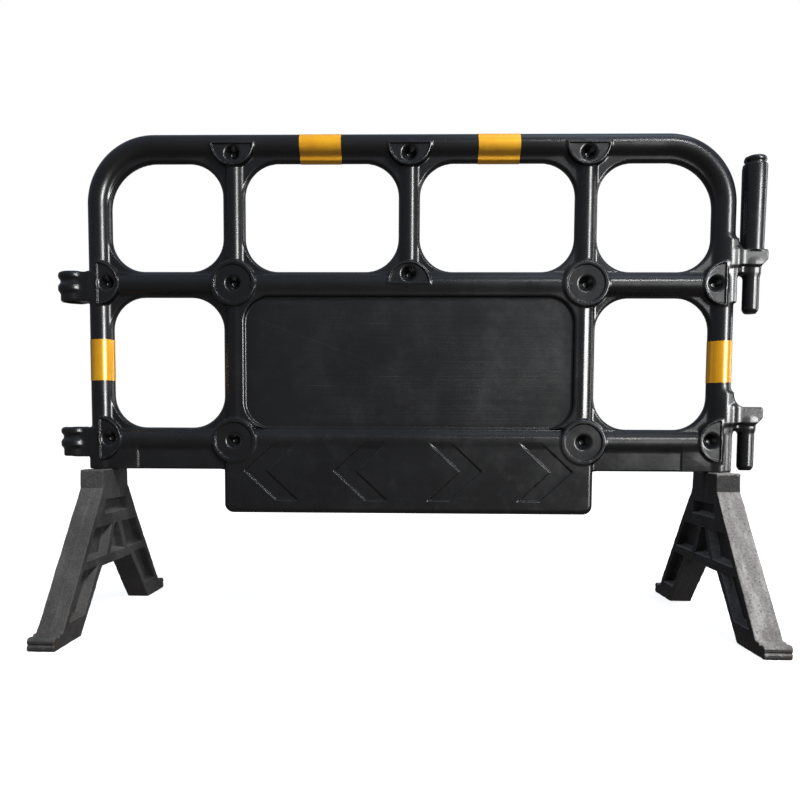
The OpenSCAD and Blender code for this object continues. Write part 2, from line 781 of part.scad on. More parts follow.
// The pockets in one side of a foot
module foot_pockets() {
    foot_slab(wide_pocket(pocket_mid_z, pocket_top_z), pocket_depth);
    foot_slab(wide_pocket(pocket_low_z, pocket_mid_z - foot_rib_t), pocket_depth);
    for (side = [-1, 1])
        foot_slab(leg_pocket(leg_pocket_bottom_z, leg_pocket_top_z, side), pocket_depth);
}

module left_foot() mirrored() right_foot();

// ---------- reflective bands ----------

module band_ring()
    difference() {
        cylinder(h = band_w, r = hoop_r + band_play + band_t, center = true);
        cylinder(h = band_w + 2 * over, r = hoop_r + band_play, center = true);
        translate([0, -band_slot / 2, -band_w / 2 - over])
            cube([2 * hoop_r, band_slot, band_w + 2 * over]);
    }

module reflective_band_top_right()
    color(band_amber) translate([band_x, 0, hoop_z]) rotate([0, 90, 0]) band_ring();

module reflective_band_top_left() mirrored() reflective_band_top_right();

module reflective_band_post_right()
    color(band_amber) translate([hoop_x, 0, band_z]) rotate([0, 0, 180]) band_ring();

module reflective_band_post_left() mirrored() reflective_band_post_right();

top_corner_left();
top_corner_right();
top_joint_left();
top_joint_centre();
top_joint_right();
top_rail_left();
top_rail_right();
inner_post_upper_left();
centre_post();
inner_post_upper_right();
middle_end_joint_left();
middle_joint_left();
middle_joint_centre();
middle_joint_right();
middle_end_joint_right();
middle_rail_outer_left();
middle_rail_left();
middle_rail_right();
middle_rail_outer_right();
end_post_lower_left();
inner_post_lower_left();
inner_post_lower_right();
end_post_lower_right();
lower_end_joint_left();
lower_joint_left();
lower_joint_right();
lower_end_joint_right();
lower_rail_left();
lower_rail_right();
advertising_board();
kick_panel();
upper_socket();
lower_socket();
upper_link_arm();
lower_link_arm();
upper_link_pin();
lower_link_pin();
lamp_post();
left_foot_peg();
right_foot_peg();
reflective_band_top_left();
reflective_band_top_right();
reflective_band_post_left();
reflective_band_post_right();
left_foot();
right_foot();
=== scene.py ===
"""The looks of an interlocking traffic barrier: a black blow-moulded panel with amber tape on two
rubber feet. Each moulding is one closed surface, meshed from a distance function in millimetres."""

import math

import bpy
import numpy as np
from mathutils import Matrix, Vector


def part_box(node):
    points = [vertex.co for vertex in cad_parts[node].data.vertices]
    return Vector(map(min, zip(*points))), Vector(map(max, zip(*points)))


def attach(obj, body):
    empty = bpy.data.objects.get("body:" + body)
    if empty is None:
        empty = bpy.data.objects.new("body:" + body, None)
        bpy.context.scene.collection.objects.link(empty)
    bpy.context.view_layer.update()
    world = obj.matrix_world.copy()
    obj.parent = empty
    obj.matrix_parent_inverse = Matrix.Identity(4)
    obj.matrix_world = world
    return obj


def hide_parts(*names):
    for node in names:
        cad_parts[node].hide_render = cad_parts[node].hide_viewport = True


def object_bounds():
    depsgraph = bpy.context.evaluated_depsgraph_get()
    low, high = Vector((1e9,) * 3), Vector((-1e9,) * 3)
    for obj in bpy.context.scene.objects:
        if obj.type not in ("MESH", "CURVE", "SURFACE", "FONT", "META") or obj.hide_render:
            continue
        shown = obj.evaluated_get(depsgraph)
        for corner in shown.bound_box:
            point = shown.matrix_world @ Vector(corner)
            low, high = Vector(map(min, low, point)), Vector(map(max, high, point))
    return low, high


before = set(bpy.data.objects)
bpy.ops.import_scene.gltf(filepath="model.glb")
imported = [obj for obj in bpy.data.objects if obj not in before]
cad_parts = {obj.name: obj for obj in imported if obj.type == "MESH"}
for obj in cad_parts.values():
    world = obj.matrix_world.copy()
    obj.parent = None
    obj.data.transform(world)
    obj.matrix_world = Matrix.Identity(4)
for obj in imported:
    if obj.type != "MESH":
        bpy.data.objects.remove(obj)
cad_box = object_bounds()

MM = 0.001

# ---------------------------------------------------------------- camera

CAMERA_AT = (0.006, -1.3145, 0.313)
CAMERA_TURN = (math.radians(86.4), 0.0, math.radians(1.2))
CAMERA_ROLL = math.radians(0.3)

camera_data = bpy.data.cameras.new("camera")
camera_data.lens = 34.06
camera_data.sensor_width = 36.0
camera_data.shift_x = 0.006
camera_data.shift_y = 0.1075
camera = bpy.data.objects.new("camera", camera_data)
bpy.context.scene.collection.objects.link(camera)
camera.matrix_world = (
    Matrix.Translation(CAMERA_AT)
    @ Matrix.Rotation(CAMERA_TURN[2], 4, "Z")
    @ Matrix.Rotation(CAMERA_TURN[0], 4, "X")
    @ Matrix.Rotation(CAMERA_ROLL, 4, "Z")
)
bpy.context.scene.camera = camera

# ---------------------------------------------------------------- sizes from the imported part


def box_mm(node):
    """Lowest and highest corner of a CAD node, in millimetres."""
    low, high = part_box(node)
    return [c / MM for c in low], [c / MM for c in high]


post_lo, post_hi = box_mm("end_post_lower_right")
rail_lo, rail_hi = box_mm("middle_rail_right")
inner_lo, inner_hi = box_mm("inner_post_lower_right")
centre_hi = box_mm("centre_post")[1]
top_lo, top_hi = box_mm("top_rail_right")
low_lo, low_hi = box_mm("lower_rail_right")
board_lo, board_hi = box_mm("advertising_board")
kick_lo, kick_hi = box_mm("kick_panel")
joint_hi = box_mm("middle_joint_right")[1]
pin_lo, pin_hi = box_mm("upper_link_pin")
low_pin_lo = box_mm("lower_link_pin")[0]
arm_lo, arm_hi = box_mm("upper_link_arm")
low_arm_lo, low_arm_hi = box_mm("lower_link_arm")
sock_lo, sock_hi = box_mm("upper_socket")
low_sock_lo, low_sock_hi = box_mm("lower_socket")
lamp_lo, lamp_hi = box_mm("lamp_post")
peg_lo, peg_hi = box_mm("right_foot_peg")
foot_lo, foot_hi = box_mm("right_foot")

HOOP_R = post_hi[1]
HOOP_X = post_hi[0] - HOOP_R
HOOP_Z = top_hi[2] - HOOP_R
BEND_R = 97.9
RAIL_R = rail_hi[1]
FLANGE = (rail_hi[2] - rail_lo[2]) / 2 - RAIL_R
MIDDLE_Z = (rail_hi[2] + rail_lo[2]) / 2
LOWER_Z = low_hi[2] - FLANGE - RAIL_R
INNER_X = (inner_hi[0] + inner_lo[0]) / 2
INNER_R = inner_hi[1]
CENTRE_R = centre_hi[1]
PAD_T = joint_hi[1]
SKIRT_Z = low_lo[2]
KICK_X = kick_hi[0]
KICK_Z = kick_lo[2]
KICK_T = kick_hi[1]
BOARD_X = board_hi[0]
BOARD_TOP = board_hi[2]
BOARD_LOW = board_lo[2]
BOARD_T = board_hi[1]
LINK_X = (pin_hi[0] + pin_lo[0]) / 2
ARM_T = arm_hi[1]
ARM_END = arm_hi[0]

# Window edges
END_X = post_lo[0]
OUTER_X = inner_hi[0]
INNER_EDGE = inner_lo[0]
CENTRE_X = centre_hi[0]
TOP_EDGE = top_lo[2]
MIDDLE_UP = rail_hi[2]
MIDDLE_DOWN = rail_lo[2]
LOWER_UP = low_hi[2]

# Looks of the moulding, in millimetres
WINDOW_R, CORNER_WINDOW_R = 58.0, 80.0
FLANGE_HALF = 4.0
WEB_INSET, WEB_HALF, WEB_EDGE = 2.2, 8.0, 2.5
BOARD_R, BOARD_WEB_HALF = 45.0, 16.5
PAD_R, PAD_EDGE = 38.5, 2.5
DISH_R, DISH_DEPTH = 31.0, 2.0
PIT_R, PIT_FLOOR_R, PIT_FLOOR_Y = 13.0, 4.0, 3.0
HALF_PAD_R, HALF_DISH_R, HALF_PIT_SHIFT = 37.0, 33.0, 16.0
SKIRT_HALF, SKIRT_STEP_X = 14.0, 466.0
CHEVRON_W, CHEVRON_L, CHEVRON_H = 39.0, 94.0, 102.0
CHEVRON_X, CHEVRON_PITCH, CHEVRON_DEPTH = 33.5, 154.0, 2.2
BEVEL_H = 14.0

# ---------------------------------------------------------------- distance functions


def blend_in(a, b, k):
    """Smaller of two distances, with a fillet of about k."""
    h = np.maximum(k - np.abs(a - b), 0.0)
    return np.minimum(a, b) - h * h / (4.0 * k)


def cut_in(a, b, k):
    """Larger of two distances, with a rounded edge of about k."""
    return -blend_in(-a, -b, k)


def box_2d(u, v, half_u, half_v, r):
    """Distance to a rounded rectangle round the origin."""
    q, w = np.abs(u) - half_u + r, np.abs(v) - half_v + r
    return np.hypot(np.maximum(q, 0), np.maximum(w, 0)) + np.minimum(np.maximum(q, w), 0) - r


def rect(x, z, x0, x1, z0, z1, r):
    """Distance to a rounded rectangle between two corners."""
    return box_2d(x - (x0 + x1) / 2, z - (z0 + z1) / 2, (x1 - x0) / 2, (z1 - z0) / 2, r)


def thick(d2, y, half, r):
    """An outline given thickness along Y, with rounded edges."""
    q, w = d2 + r, np.abs(y) - half + r
    return np.hypot(np.maximum(q, 0), np.maximum(w, 0)) + np.minimum(np.maximum(q, w), 0) - r


def polygon(u, v, points):
    """Distance to a closed polygon."""
    points = np.asarray(points, float)
    best, sign = None, None
    for (ax, ay), (bx, by) in zip(points, np.roll(points, -1, axis=0)):
        ex, ey = bx - ax, by - ay
        wx, wy = u - ax, v - ay
        t = np.clip((wx * ex + wy * ey) / (ex * ex + ey * ey), 0, 1)
        d = (wx - ex * t) ** 2 + (wy - ey * t) ** 2
        c1, c2, c3 = v >= ay, v < by, ex * wy > ey * wx
        flip = np.where((c1 & c2 & c3) | (~c1 & ~c2 & ~c3), -1.0, 1.0)
        best = d if best is None else np.minimum(best, d)
        sign = flip if sign is None else sign * flip
    return np.sqrt(best) * sign


def windows(ax, z):
    """Distance to the nearest open window, below 0 inside it."""
    cx, cz = (OUTER_X + END_X) / 2, (MIDDLE_UP + TOP_EDGE) / 2
    r = np.where((ax > cx) & (z > cz), CORNER_WINDOW_R, WINDOW_R)
    outer = box_2d(ax - cx, z - cz, (END_X - OUTER_X) / 2, (TOP_EDGE - MIDDLE_UP) / 2, r)
    low = rect(ax, z, OUTER_X, END_X, LOWER_UP, MIDDLE_DOWN, WINDOW_R)
    mid = rect(ax, z, CENTRE_X, INNER_EDGE, MIDDLE_UP, TOP_EDGE, WINDOW_R)
    return np.minimum(np.minimum(outer, low), mid)


def pad(ax, ay, z, x0, z0, side):
    """A bonding pad's disc. side (x, z) is the flat side of a half pad."""
    rho = np.hypot(ax - x0, z - z0)
    if side is None:
        return thick(rho - PAD_R, ay, PAD_T, PAD_EDGE)
    flat = (ax - x0) * side[0] + (z - z0) * side[1]
    return thick(cut_in(rho - HALF_PAD_R, flat - 1.5, 2.0), ay, PAD_T, PAD_EDGE)


def hollow(ax, ay, z, x0, z0, side):
    """What a pad loses: a shallow dish inside its rim, and a conical pit."""
    rho = np.hypot(ax - x0, z - z0)
    if side is None:
        dish, px, pz = rho - DISH_R, x0, z0
    else:
        flat = (ax - x0) * side[0] + (z - z0) * side[1]
        dish = np.maximum(rho - HALF_DISH_R, flat + 1.5)
        px, pz = x0 - side[0] * HALF_PIT_SHIFT, z0 - side[1] * HALF_PIT_SHIFT
    floor = PAD_T - DISH_DEPTH
    wall = (PIT_R - PIT_FLOOR_R) / (floor - PIT_FLOOR_Y)
    pit = np.hypot(ax - px, z - pz) - PIT_FLOOR_R - (ay - PIT_FLOOR_Y) * wall
    pit = cut_in(pit / math.hypot(1, wall), PIT_FLOOR_Y - ay, 1.5)
    step = (dish + (floor - ay)) * math.sqrt(0.5)
    return blend_in(cut_in(np.maximum(dish, step), floor - ay, 0.8), pit, 3.0)


PADS = [
    (INNER_X, MIDDLE_Z, None),
    (INNER_X, LOWER_Z, None),
    (INNER_X, HOOP_Z, (0, 1)),
    (0.0, HOOP_Z, (0, 1)),
    (0.0, MIDDLE_Z, (0, -1)),
    (HOOP_X, MIDDLE_Z, (1, 0)),
    (HOOP_X, LOWER_Z + 3.0, (1, 0)),
]


def chevron(tail_x):
    """An arrow's outline, pointing away from the middle."""
    z0, h = (KICK_Z + BOARD_LOW) / 2, CHEVRON_H / 2
    tip = tail_x + CHEVRON_L
    return [
        (tail_x, z0 + h), (tail_x + CHEVRON_W, z0 + h), (tip, z0),
        (tail_x + CHEVRON_W, z0 - h), (tail_x, z0 - h), (tip - CHEVRON_W, z0),
    ]


def frame_field(ax, ay, z):
    """The panel without its links. ax and ay are distances from the two mid planes."""
    # tubes
    q, w = ax - HOOP_X + BEND_R, z - HOOP_Z + BEND_R
    path = np.hypot(np.maximum(q, 0), np.maximum(w, 0)) + np.minimum(np.maximum(q, w), 0) - BEND_R
    hoop = np.hypot(path, ay) - HOOP_R
    middle = np.maximum(np.hypot(z - MIDDLE_Z, ay) - RAIL_R, ax - HOOP_X)
    lower = np.maximum(np.hypot(z - LOWER_Z, ay) - RAIL_R, ax - HOOP_X)
    inner = np.hypot(ax - INNER_X, ay) - INNER_R
    inner = np.maximum(np.maximum(inner, LOWER_Z - z), z - HOOP_Z)
    centre = np.maximum(np.maximum(np.hypot(ax, ay) - CENTRE_R, MIDDLE_Z - z), z - HOOP_Z)
    tubes = blend_in(blend_in(middle, lower, 4.0), blend_in(inner, centre, 4.0), 7.0)
    tubes = blend_in(tubes, hoop, 7.0)
    # skirts under the lower rail, and the step near their ends
    skirt = rect(ax, z, KICK_X - 20, HOOP_X, SKIRT_Z, LOWER_Z, 3.0)
    block = rect(ax, z, SKIRT_STEP_X, HOOP_X + 3, SKIRT_Z, LOWER_Z, 2.0)
    skirt = blend_in(thick(skirt, ay, SKIRT_HALF, 3.0), thick(block, ay, SKIRT_HALF + 2, 2.0), 1.0)
    tubes = blend_in(tubes, skirt, 4.0)
    # corner webs, and the thin flange that edges each window
    opening = windows(ax, z)
    board = rect(ax, z, -BOARD_X, BOARD_X, BOARD_LOW, BOARD_TOP, BOARD_R)
    limit = np.maximum(path, LOWER_Z - z)
    web = thick(np.maximum(WEB_INSET - np.minimum(opening, board + WEB_INSET), limit),
                ay, WEB_HALF, WEB_EDGE)
    corner = np.maximum(np.maximum(-board, ax - INNER_X), np.maximum(z - MIDDLE_Z, BOARD_LOW - z))
    web = blend_in(web, thick(corner, ay, BOARD_WEB_HALF, 4.0), 2.0)
    body = blend_in(tubes, web, 4.5)
    flange = thick(np.maximum(-opening, limit), ay, FLANGE_HALF, 1.5)
    body = blend_in(body, flange, 3.0)
    # flat board and kick panel
    slab = np.maximum(np.maximum(ax - INNER_X, BOARD_LOW - 20 - z), z - MIDDLE_Z)
    body = blend_in(body, np.maximum(slab, ay - BOARD_T), 3.0)
    outline = rect(ax, z, -KICK_X, KICK_X, KICK_Z, BOARD_LOW + 40, 16.0)
    kick = thick(outline, ay, KICK_T, 9.0)
    slope = ((z - BOARD_LOW + BEVEL_H) * (KICK_T - BOARD_T) + (ay - KICK_T) * BEVEL_H)
    slope = slope / math.hypot(KICK_T - BOARD_T, BEVEL_H)
    side = np.maximum(ax - KICK_X, z - BOARD_LOW)
    slope = np.where(ax > INNER_X - 22, side, slope)
    kick = cut_in(kick, np.maximum(slope, z - BOARD_LOW - 1), 2.5)
    cut = np.minimum(polygon(ax, z, chevron(CHEVRON_X)),
                     polygon(ax, z, chevron(CHEVRON_X + CHEVRON_PITCH)))
    step = cut * 0.93 + (KICK_T - ay) * 0.37
    cut = cut_in(np.maximum(cut, step), KICK_T - CHEVRON_DEPTH - ay, 0.6)
    kick = cut_in(kick, -cut, 0.8)
    body = blend_in(body, kick, 2.5)
    return cut_in(body, SKIRT_Z - z + np.where(ax < KICK_X + 5, -500.0, 0.0), 2.0)


def ring(rho, z, r, z0, z1, edge):
    """A round collar between two heights."""
    return box_2d(rho, z - (z0 + z1) / 2, r, (z1 - z0) / 2, edge)


def socket_field(x, ay, z, low, high):
    """A link socket at the left end, with two rings, a neck and a bore."""
    h = high - low
    rho = np.hypot(x + LINK_X, ay)
    body = ring(rho, z, 20.3, low, high, 3.0)
    body = blend_in(body, ring(rho, z, 24.0, low + 0.76 * h, high - 0.5, 4.5), 4.0)
    body = blend_in(body, ring(rho, z, 24.3, low + 0.30 * h, low + 0.60 * h, 5.5), 4.0)
    neck = rect(x, z, -LINK_X, -HOOP_X - 5, low, high, 2.0)
    body = blend_in(body, thick(neck, ay, ARM_T, 3.0), 4.0)
    return body, 15.0 - rho


def arm_field(x, ay, z, face_low, face_high, gap_z, tip_z, gusset_r):
    """A link arm at the right end with its gusset, the neck and the pin under it."""
    end, wall = ARM_END - 2.5, HOOP_X + HOOP_R
    face = polygon(x, z, [
        (HOOP_X + 8, face_low), (end - 9, face_low), (end, face_low + 9),
        (end, face_high - 2), (end - 2, face_high), (HOOP_X + 8, face_high)])
    gusset = rect(x, z, wall - 12, wall + gusset_r, face_high - 8, face_high + gusset_r, 0.0)
    gusset = np.maximum(gusset, gusset_r - np.hypot(x - wall - gusset_r, z - face_high - gusset_r))
    body = thick(blend_in(face - 1.0, gusset, 2.0), ay, ARM_T, 2.0)
    neck = rect(x, z, HOOP_X + 8, LINK_X + 11, gap_z, face_low + 8, 3.0)
    body = blend_in(body, thick(neck, ay, 11.0, 4.0), 2.0)
    rho = np.hypot(x - LINK_X, ay)
    pin = ring(rho, z, 13.6, tip_z, face_low + 8, 5.0)
    flat = np.maximum(np.abs(x - LINK_X) * 0.766 + ay * 0.643,
                      np.abs(x - LINK_X) * 0.174 + ay * 0.985) - 13.1
    pin = cut_in(pin, flat, 1.5)
    tip = np.maximum(rho + (tip_z - z) * 0.75 - 9.0, tip_z - z)
    pin = cut_in(pin, tip, 2.0)
    return blend_in(body, pin, 9.0)


def lamp_field(x, ay, z):
    """The lamp post on the upper arm, with its groove, spigot and side strip."""
    base, shoulder, top = lamp_lo[2] - 3, lamp_hi[2] - 18.0, lamp_hi[2] - 5.0
    rise = (z - base) / (shoulder - base)
    rho = np.hypot(x - LINK_X - 0.9 * rise, ay)
    body = np.maximum(np.maximum(rho - 18.6 - 1.2 * rise, base - z), z - shoulder)
    strip = rect(x, z, LINK_X - 19.4, LINK_X - 10, base, shoulder - 5, 2.0)
    body = blend_in(body, thick(strip, ay, 6.0, 3.0), 2.5)
    body = cut_in(body, z - shoulder, 2.0)
    body = np.minimum(body, ring(rho, z, 16.3, shoulder - 3, shoulder + 5, 0.5))
    return blend_in(body, ring(rho, z, 18.0, shoulder + 2.4, top + 0.5, 5.5), 0.8)


def peg_field(ax, ay, z):
    rho = np.hypot(ax - HOOP_X, ay)
    return ring(rho, z, peg_hi[1], peg_lo[2], SKIRT_Z + 4, 2.5)


def panel_field(x, y, z):
    """The whole panel moulding."""
    ax, ay = np.abs(x), np.abs(y)
    body = frame_field(ax, ay, z)
    # flat strips outside the end pads, which carry the links
    right, left = (HOOP_X + 2, HOOP_X + HOOP_R + 0.5), (-HOOP_X - HOOP_R - 0.2, -HOOP_X - 2)
    strip = np.minimum(rect(x, z, *right, MIDDLE_Z - 32, MIDDLE_Z + 58, 3.0),
                       rect(x, z, *right, SKIRT_Z, LOWER_Z + 62, 3.0))
    strip = np.minimum(strip, rect(x, z, *left, sock_lo[2], sock_hi[2], 3.0))
    strip = np.minimum(strip, rect(x, z, *left, SKIRT_Z, low_sock_hi[2], 3.0))
    body = blend_in(body, thick(strip, ay, ARM_T + 0.3, 2.5), 2.0)
    for low, high in ((sock_lo[2], sock_hi[2]), (low_sock_lo[2], low_sock_hi[2])):
        part, bore = socket_field(x, ay, z, low, high)
        body = cut_in(blend_in(body, part, 5.0), bore, 1.5)
    upper = arm_field(x, ay, z, arm_lo[2], arm_hi[2] - 2, arm_lo[2] - 15, pin_lo[2] - 4, 17.0)
    lower = arm_field(x, ay, z, low_arm_lo[2] + 13, low_arm_hi[2] - 3, low_arm_lo[2] + 1,
                      low_pin_lo[2], 24.0)
    body = blend_in(blend_in(body, upper, 14.0), lamp_field(x, ay, z), 3.0)
    body = blend_in(body, lower, 14.0)
    for x0, z0, side in PADS:
        body = blend_in(body, pad(ax, ay, z, x0, z0, side), 3.5)
    for x0, z0, side in PADS:
        body = cut_in(body, -hollow(ax, ay, z, x0, z0, side), 1.0)
    body = blend_in(body, peg_field(ax, ay, z), 2.0)
    # the parting line
    return body - 0.45 * np.exp(-((ay / 1.3) ** 2))


# ---------------------------------------------------------------- meshing


def grid_line(low, high, step):
    """Evenly spaced grid positions over a span, none of them at 0."""
    first, last = math.floor(low / step), math.ceil(high / step)
    return (np.arange(first, last) + 0.5) * step


STEP, QUICK_STEP = 2.0, 1.7
SLICE = 12  # planes of the grid worked out at a time
CORNERS = [(i, j, k) for i in (0, 1) for j in (0, 1) for k in (0, 1)]
EDGES = [(a, b) for n, a in enumerate(CORNERS) for b in CORNERS[n + 1:]
         if sum(abs(p - q) for p, q in zip(a, b)) == 1]


def surface_net(field, xs, ys, zs):
    """Vertices and quads of the surface where field is 0."""
    f = np.empty((len(xs), len(ys), len(zs)), np.float32)
    y, z = ys[None, :, None].astype(np.float32), zs[None, None, :].astype(np.float32)
    for i in range(0, len(xs), SLICE):
        f[i:i + SLICE] = field(xs[i:i + SLICE, None, None].astype(np.float32), y, z)
    inside = f < 0
    n = [s - 1 for s in f.shape]
    total = sum(inside[i:n[0] + i, j:n[1] + j, k:n[2] + k].astype(np.int8)
                for i, j, k in CORNERS)
    cells = np.argwhere((total > 0) & (total < 8))
    index = np.full(n, -1, np.int32)
    index[tuple(cells.T)] = np.arange(len(cells))
    at, hits = np.zeros((len(cells), 3)), np.zeros(len(cells))
    for a, b in EDGES:
        fa = f[tuple((cells + a).T)].astype(float)
        fb = f[tuple((cells + b).T)].astype(float)
        cross = (fa < 0) != (fb < 0)
        t = np.where(cross, fa / np.where(cross, fa - fb, 1), 0)
        point = np.array(a) + t[:, None] * (np.array(b) - np.array(a))
        at += np.where(cross[:, None], point, 0)
        hits += cross
    at = cells + at / hits[:, None]
    axes = (xs, ys, zs)
    points = np.stack([np.interp(at[:, i], np.arange(len(axes[i])), axes[i]) for i in range(3)], 1)
    quads = []
    for axis in range(3):
        low = [slice(None)] * 3
        high = [slice(None)] * 3
        low[axis], high[axis] = slice(0, -1), slice(1, None)
        a, b = inside[tuple(low)], inside[tuple(high)]
        for first, flip in ((True, False), (False, True)):
            e = np.argwhere((a == first) & (b != first))
            u, v = [(1, 2), (2, 0), (0, 1)][axis]
            e = e[(e[:, u] > 0) & (e[:, v] > 0) & (e[:, u] < n[u]) & (e[:, v] < n[v])]
            du, dv = np.eye(3, dtype=int)[u], np.eye(3, dtype=int)[v]
            ring4 = [index[tuple(c.T)] for c in (e - du - dv, e - dv, e, e - du)]
            quads.append(np.stack(ring4[::-1] if flip else ring4, 1))
    return points, np.concatenate(quads)


def slope_of(field, p, step=0.35):
    """The field's gradient at points."""
    out = np.empty_like(p)
    for i in range(3):
        d = np.zeros(3)
        d[i] = step
        a, b = p + d, p - d
        out[:, i] = (field(*a.T) - field(*b.T)) / (2 * step)
    return out


def settle(field, p, reach, rounds=3):
    """Moves points onto the surface, none further than reach at a time."""
    for _ in range(rounds):
        g = slope_of(field, p)
        f = field(*p.T)
        move = f / np.maximum((g * g).sum(1), 0.2)
        p = p - g * np.clip(move, -reach, reach)[:, None]
    return p


def read_points(mesh):
    co = np.empty(len(mesh.vertices) * 3, np.float32)
    mesh.vertices.foreach_get("co", co)
    return co.reshape(-1, 3).astype(float)


def write_mesh(name, points, faces):
    mesh = bpy.data.meshes.new(name)
    faces = np.asarray(faces, np.int32)
    mesh.vertices.add(len(points))
    mesh.vertices.foreach_set("co", np.asarray(points, np.float32).ravel())
    mesh.loops.add(faces.size)
    mesh.loops.foreach_set("vertex_index", faces.ravel())
    mesh.polygons.add(len(faces))
    starts = np.arange(0, faces.size, faces.shape[1], dtype=np.int32)
    mesh.polygons.foreach_set("loop_start", starts)
    mesh.update(calc_edges=True)
    mesh.validate()
    return mesh


def add_object(name, mesh):
    made = bpy.data.objects.new(name, mesh)
    bpy.context.scene.collection.objects.link(made)
    return made


def moulding(name, field, low, high, keep, shift=(0, 0, 0)):
    """A closed mesh of a field, thinned to a share of its faces, with exact normals."""
    step = STEP * 1.0
    axes = [grid_line(a - 2 * step, b + 2 * step, step) for a, b in zip(low, high)]
    points, quads = surface_net(field, *axes)
    points = settle(field, points, step / 3)
    made = add_object(name, write_mesh(name, points, quads))
    thin = made.modifiers.new("thin", "DECIMATE")
    thin.ratio = keep
    bpy.context.view_layer.update()
    thinned = bpy.data.meshes.new_from_object(
        made.evaluated_get(bpy.context.evaluated_depsgraph_get()))
    made.modifiers.clear()
    made.data = thinned
    p = settle(field, read_points(thinned), step / 6, 2)
    g = slope_of(field, p, 0.6)
    normals = g / np.linalg.norm(g, axis=1)[:, None]
    bend = bend_of(field, p, normals)
    thinned.vertices.foreach_set("co", ((p + shift) * MM).astype(np.float32).ravel())
    thinned.polygons.foreach_set("use_smooth", np.ones(len(thinned.polygons), bool))
    thinned.update()
    thinned.normals_split_custom_set_from_vertices(normals.tolist())
    worn = thinned.attributes.new("worn", "FLOAT", "POINT")
    worn.data.foreach_set("value", bend.astype(np.float32))
    return made


def bend_of(field, p, normals, step=1.6, gain=1.1):
    """How sharply the surface bends: 0 on flats, 1 on outward edges, -1 in grooves."""
    seed = np.where(np.abs(normals[:, 2:]) < 0.9, [[0, 0, 1.0]], [[1.0, 0, 0]])
    u = np.cross(normals, seed)
    u /= np.linalg.norm(u, axis=1)[:, None]
    v = np.cross(normals, u)
    total = sum(field(*(p + s * d * step).T) for d in (u, v) for s in (-1, 1))
    return np.clip(total / (step * step) * gain, -1, 1)


# ---------------------------------------------------------------- feet

FOOT_X = (foot_lo[0] + foot_hi[0]) / 2
FOOT_HALF = (foot_hi[0] - foot_lo[0]) / 2
FOOT_TOP = foot_hi[2]
TOE = foot_hi[1]
HUB_HALF, HUB_LOW = 54.5, FOOT_TOP - 30.0
LEG_END, TOE_TOP = TOE - 30.0, 21.0
SOLE, ARCH_HALF, ARCH_Z = 152.0, 65.0, 96.5
FOOT_EDGE, FOOT_WEB_HALF, FOOT_RIM = 1.6, 5.0, 14.0
BORE_R, BORE_LOW = 12.4, 218.0
POCKET_DRAFT = 0.15


def leg_out(z):
    return HUB_HALF + (LEG_END - HUB_HALF) * (HUB_LOW - z) / (HUB_LOW - TOE_TOP)


def leg_in(z):
    return SOLE + (ARCH_HALF - SOLE) * z / ARCH_Z


FOOT_SIDE = [
    (0, FOOT_TOP), (HUB_HALF - 1, FOOT_TOP),
    (HUB_HALF + 0.5, HUB_LOW + 1), (HUB_HALF + 0.5, HUB_LOW),
    (LEG_END - 1, TOE_TOP + 1), (LEG_END + 1, TOE_TOP), (LEG_END + 10, TOE_TOP + 0.5),
    (LEG_END + 12, TOE_TOP - 3), (LEG_END + 15, TOE_TOP - 3), (LEG_END + 17, TOE_TOP - 0.5),
    (TOE - 4, TOE_TOP - 1), (TOE - 0.5, TOE_TOP - 5), (TOE - 0.5, TOE_TOP - 9),
    (TOE - 2.5, TOE_TOP - 11), (TOE, TOE_TOP - 13), (TOE, 3), (TOE - 3, 0),
    (SOLE, 0), (ARCH_HALF, ARCH_Z), (0, ARCH_Z),
]


def pocket_outlines():
    """The pockets on one half of a foot's side, from the hub down to the toe."""
    rim, low, high = FOOT_RIM, ARCH_Z + 17, ARCH_Z + 67
    leg_low, leg_top = TOE_TOP + 10, ARCH_Z + 4
    return [
        [(-5, BORE_LOW - 35), (51, BORE_LOW - 35), (45, BORE_LOW - 11), (-5, BORE_LOW - 11)],
        [(46, low), (leg_out(low) - rim, low), (leg_out(high) - rim, high), (20, high)],
        [(-5, low), (33, low), (8, high), (-5, high)],
        [(leg_in(leg_low) + rim, leg_low), (leg_out(leg_low) - rim, leg_low),
         (leg_out(leg_top) - rim, leg_top), (leg_in(leg_top) + rim * 1.4, leg_top)],
    ]


POCKETS = pocket_outlines()


def foot_field(x, y, z):
    """A foot round its own middle plane."""
    ax, ay = np.abs(x), np.abs(y)
    side = polygon(ay, z, FOOT_SIDE)
    half = FOOT_HALF + 1.3 - z * (1.0 / FOOT_TOP)
    q, w = side + FOOT_EDGE, ax - half + FOOT_EDGE
    body = np.hypot(np.maximum(q, 0), np.maximum(w, 0)) + np.minimum(np.maximum(q, w), 0)
    body = body - FOOT_EDGE
    holes = None
    for outline in POCKETS:
        d = polygon(ay, z, outline)
        holes = d if holes is None else np.minimum(holes, d)
    holes = holes + (FOOT_HALF - ax) * POCKET_DRAFT + 1.0
    body = cut_in(body, -cut_in(holes, FOOT_WEB_HALF - ax, 3.0), 1.5)
    # moulding line down the middle of the leg's outer faces
    line = np.exp(-((x / 1.2) ** 2)) * np.clip((z - TOE_TOP - 6) / 8, 0, 1) * (ay > ARCH_HALF)
    bore = np.maximum(np.hypot(x, y) - BORE_R, BORE_LOW - z)
    body = cut_in(body, -bore, 1.5)
    return body - 0.5 * line + lumps(x, y, z)


def lumps(x, y, z):
    """The uneven skin of moulded crumb rubber, as a sum of slanted waves."""
    total = 0.0
    for a, b, c, phase, size in WAVES:
        total = total + size * np.sin(a * x + b * y + c * z + phase)
    return total


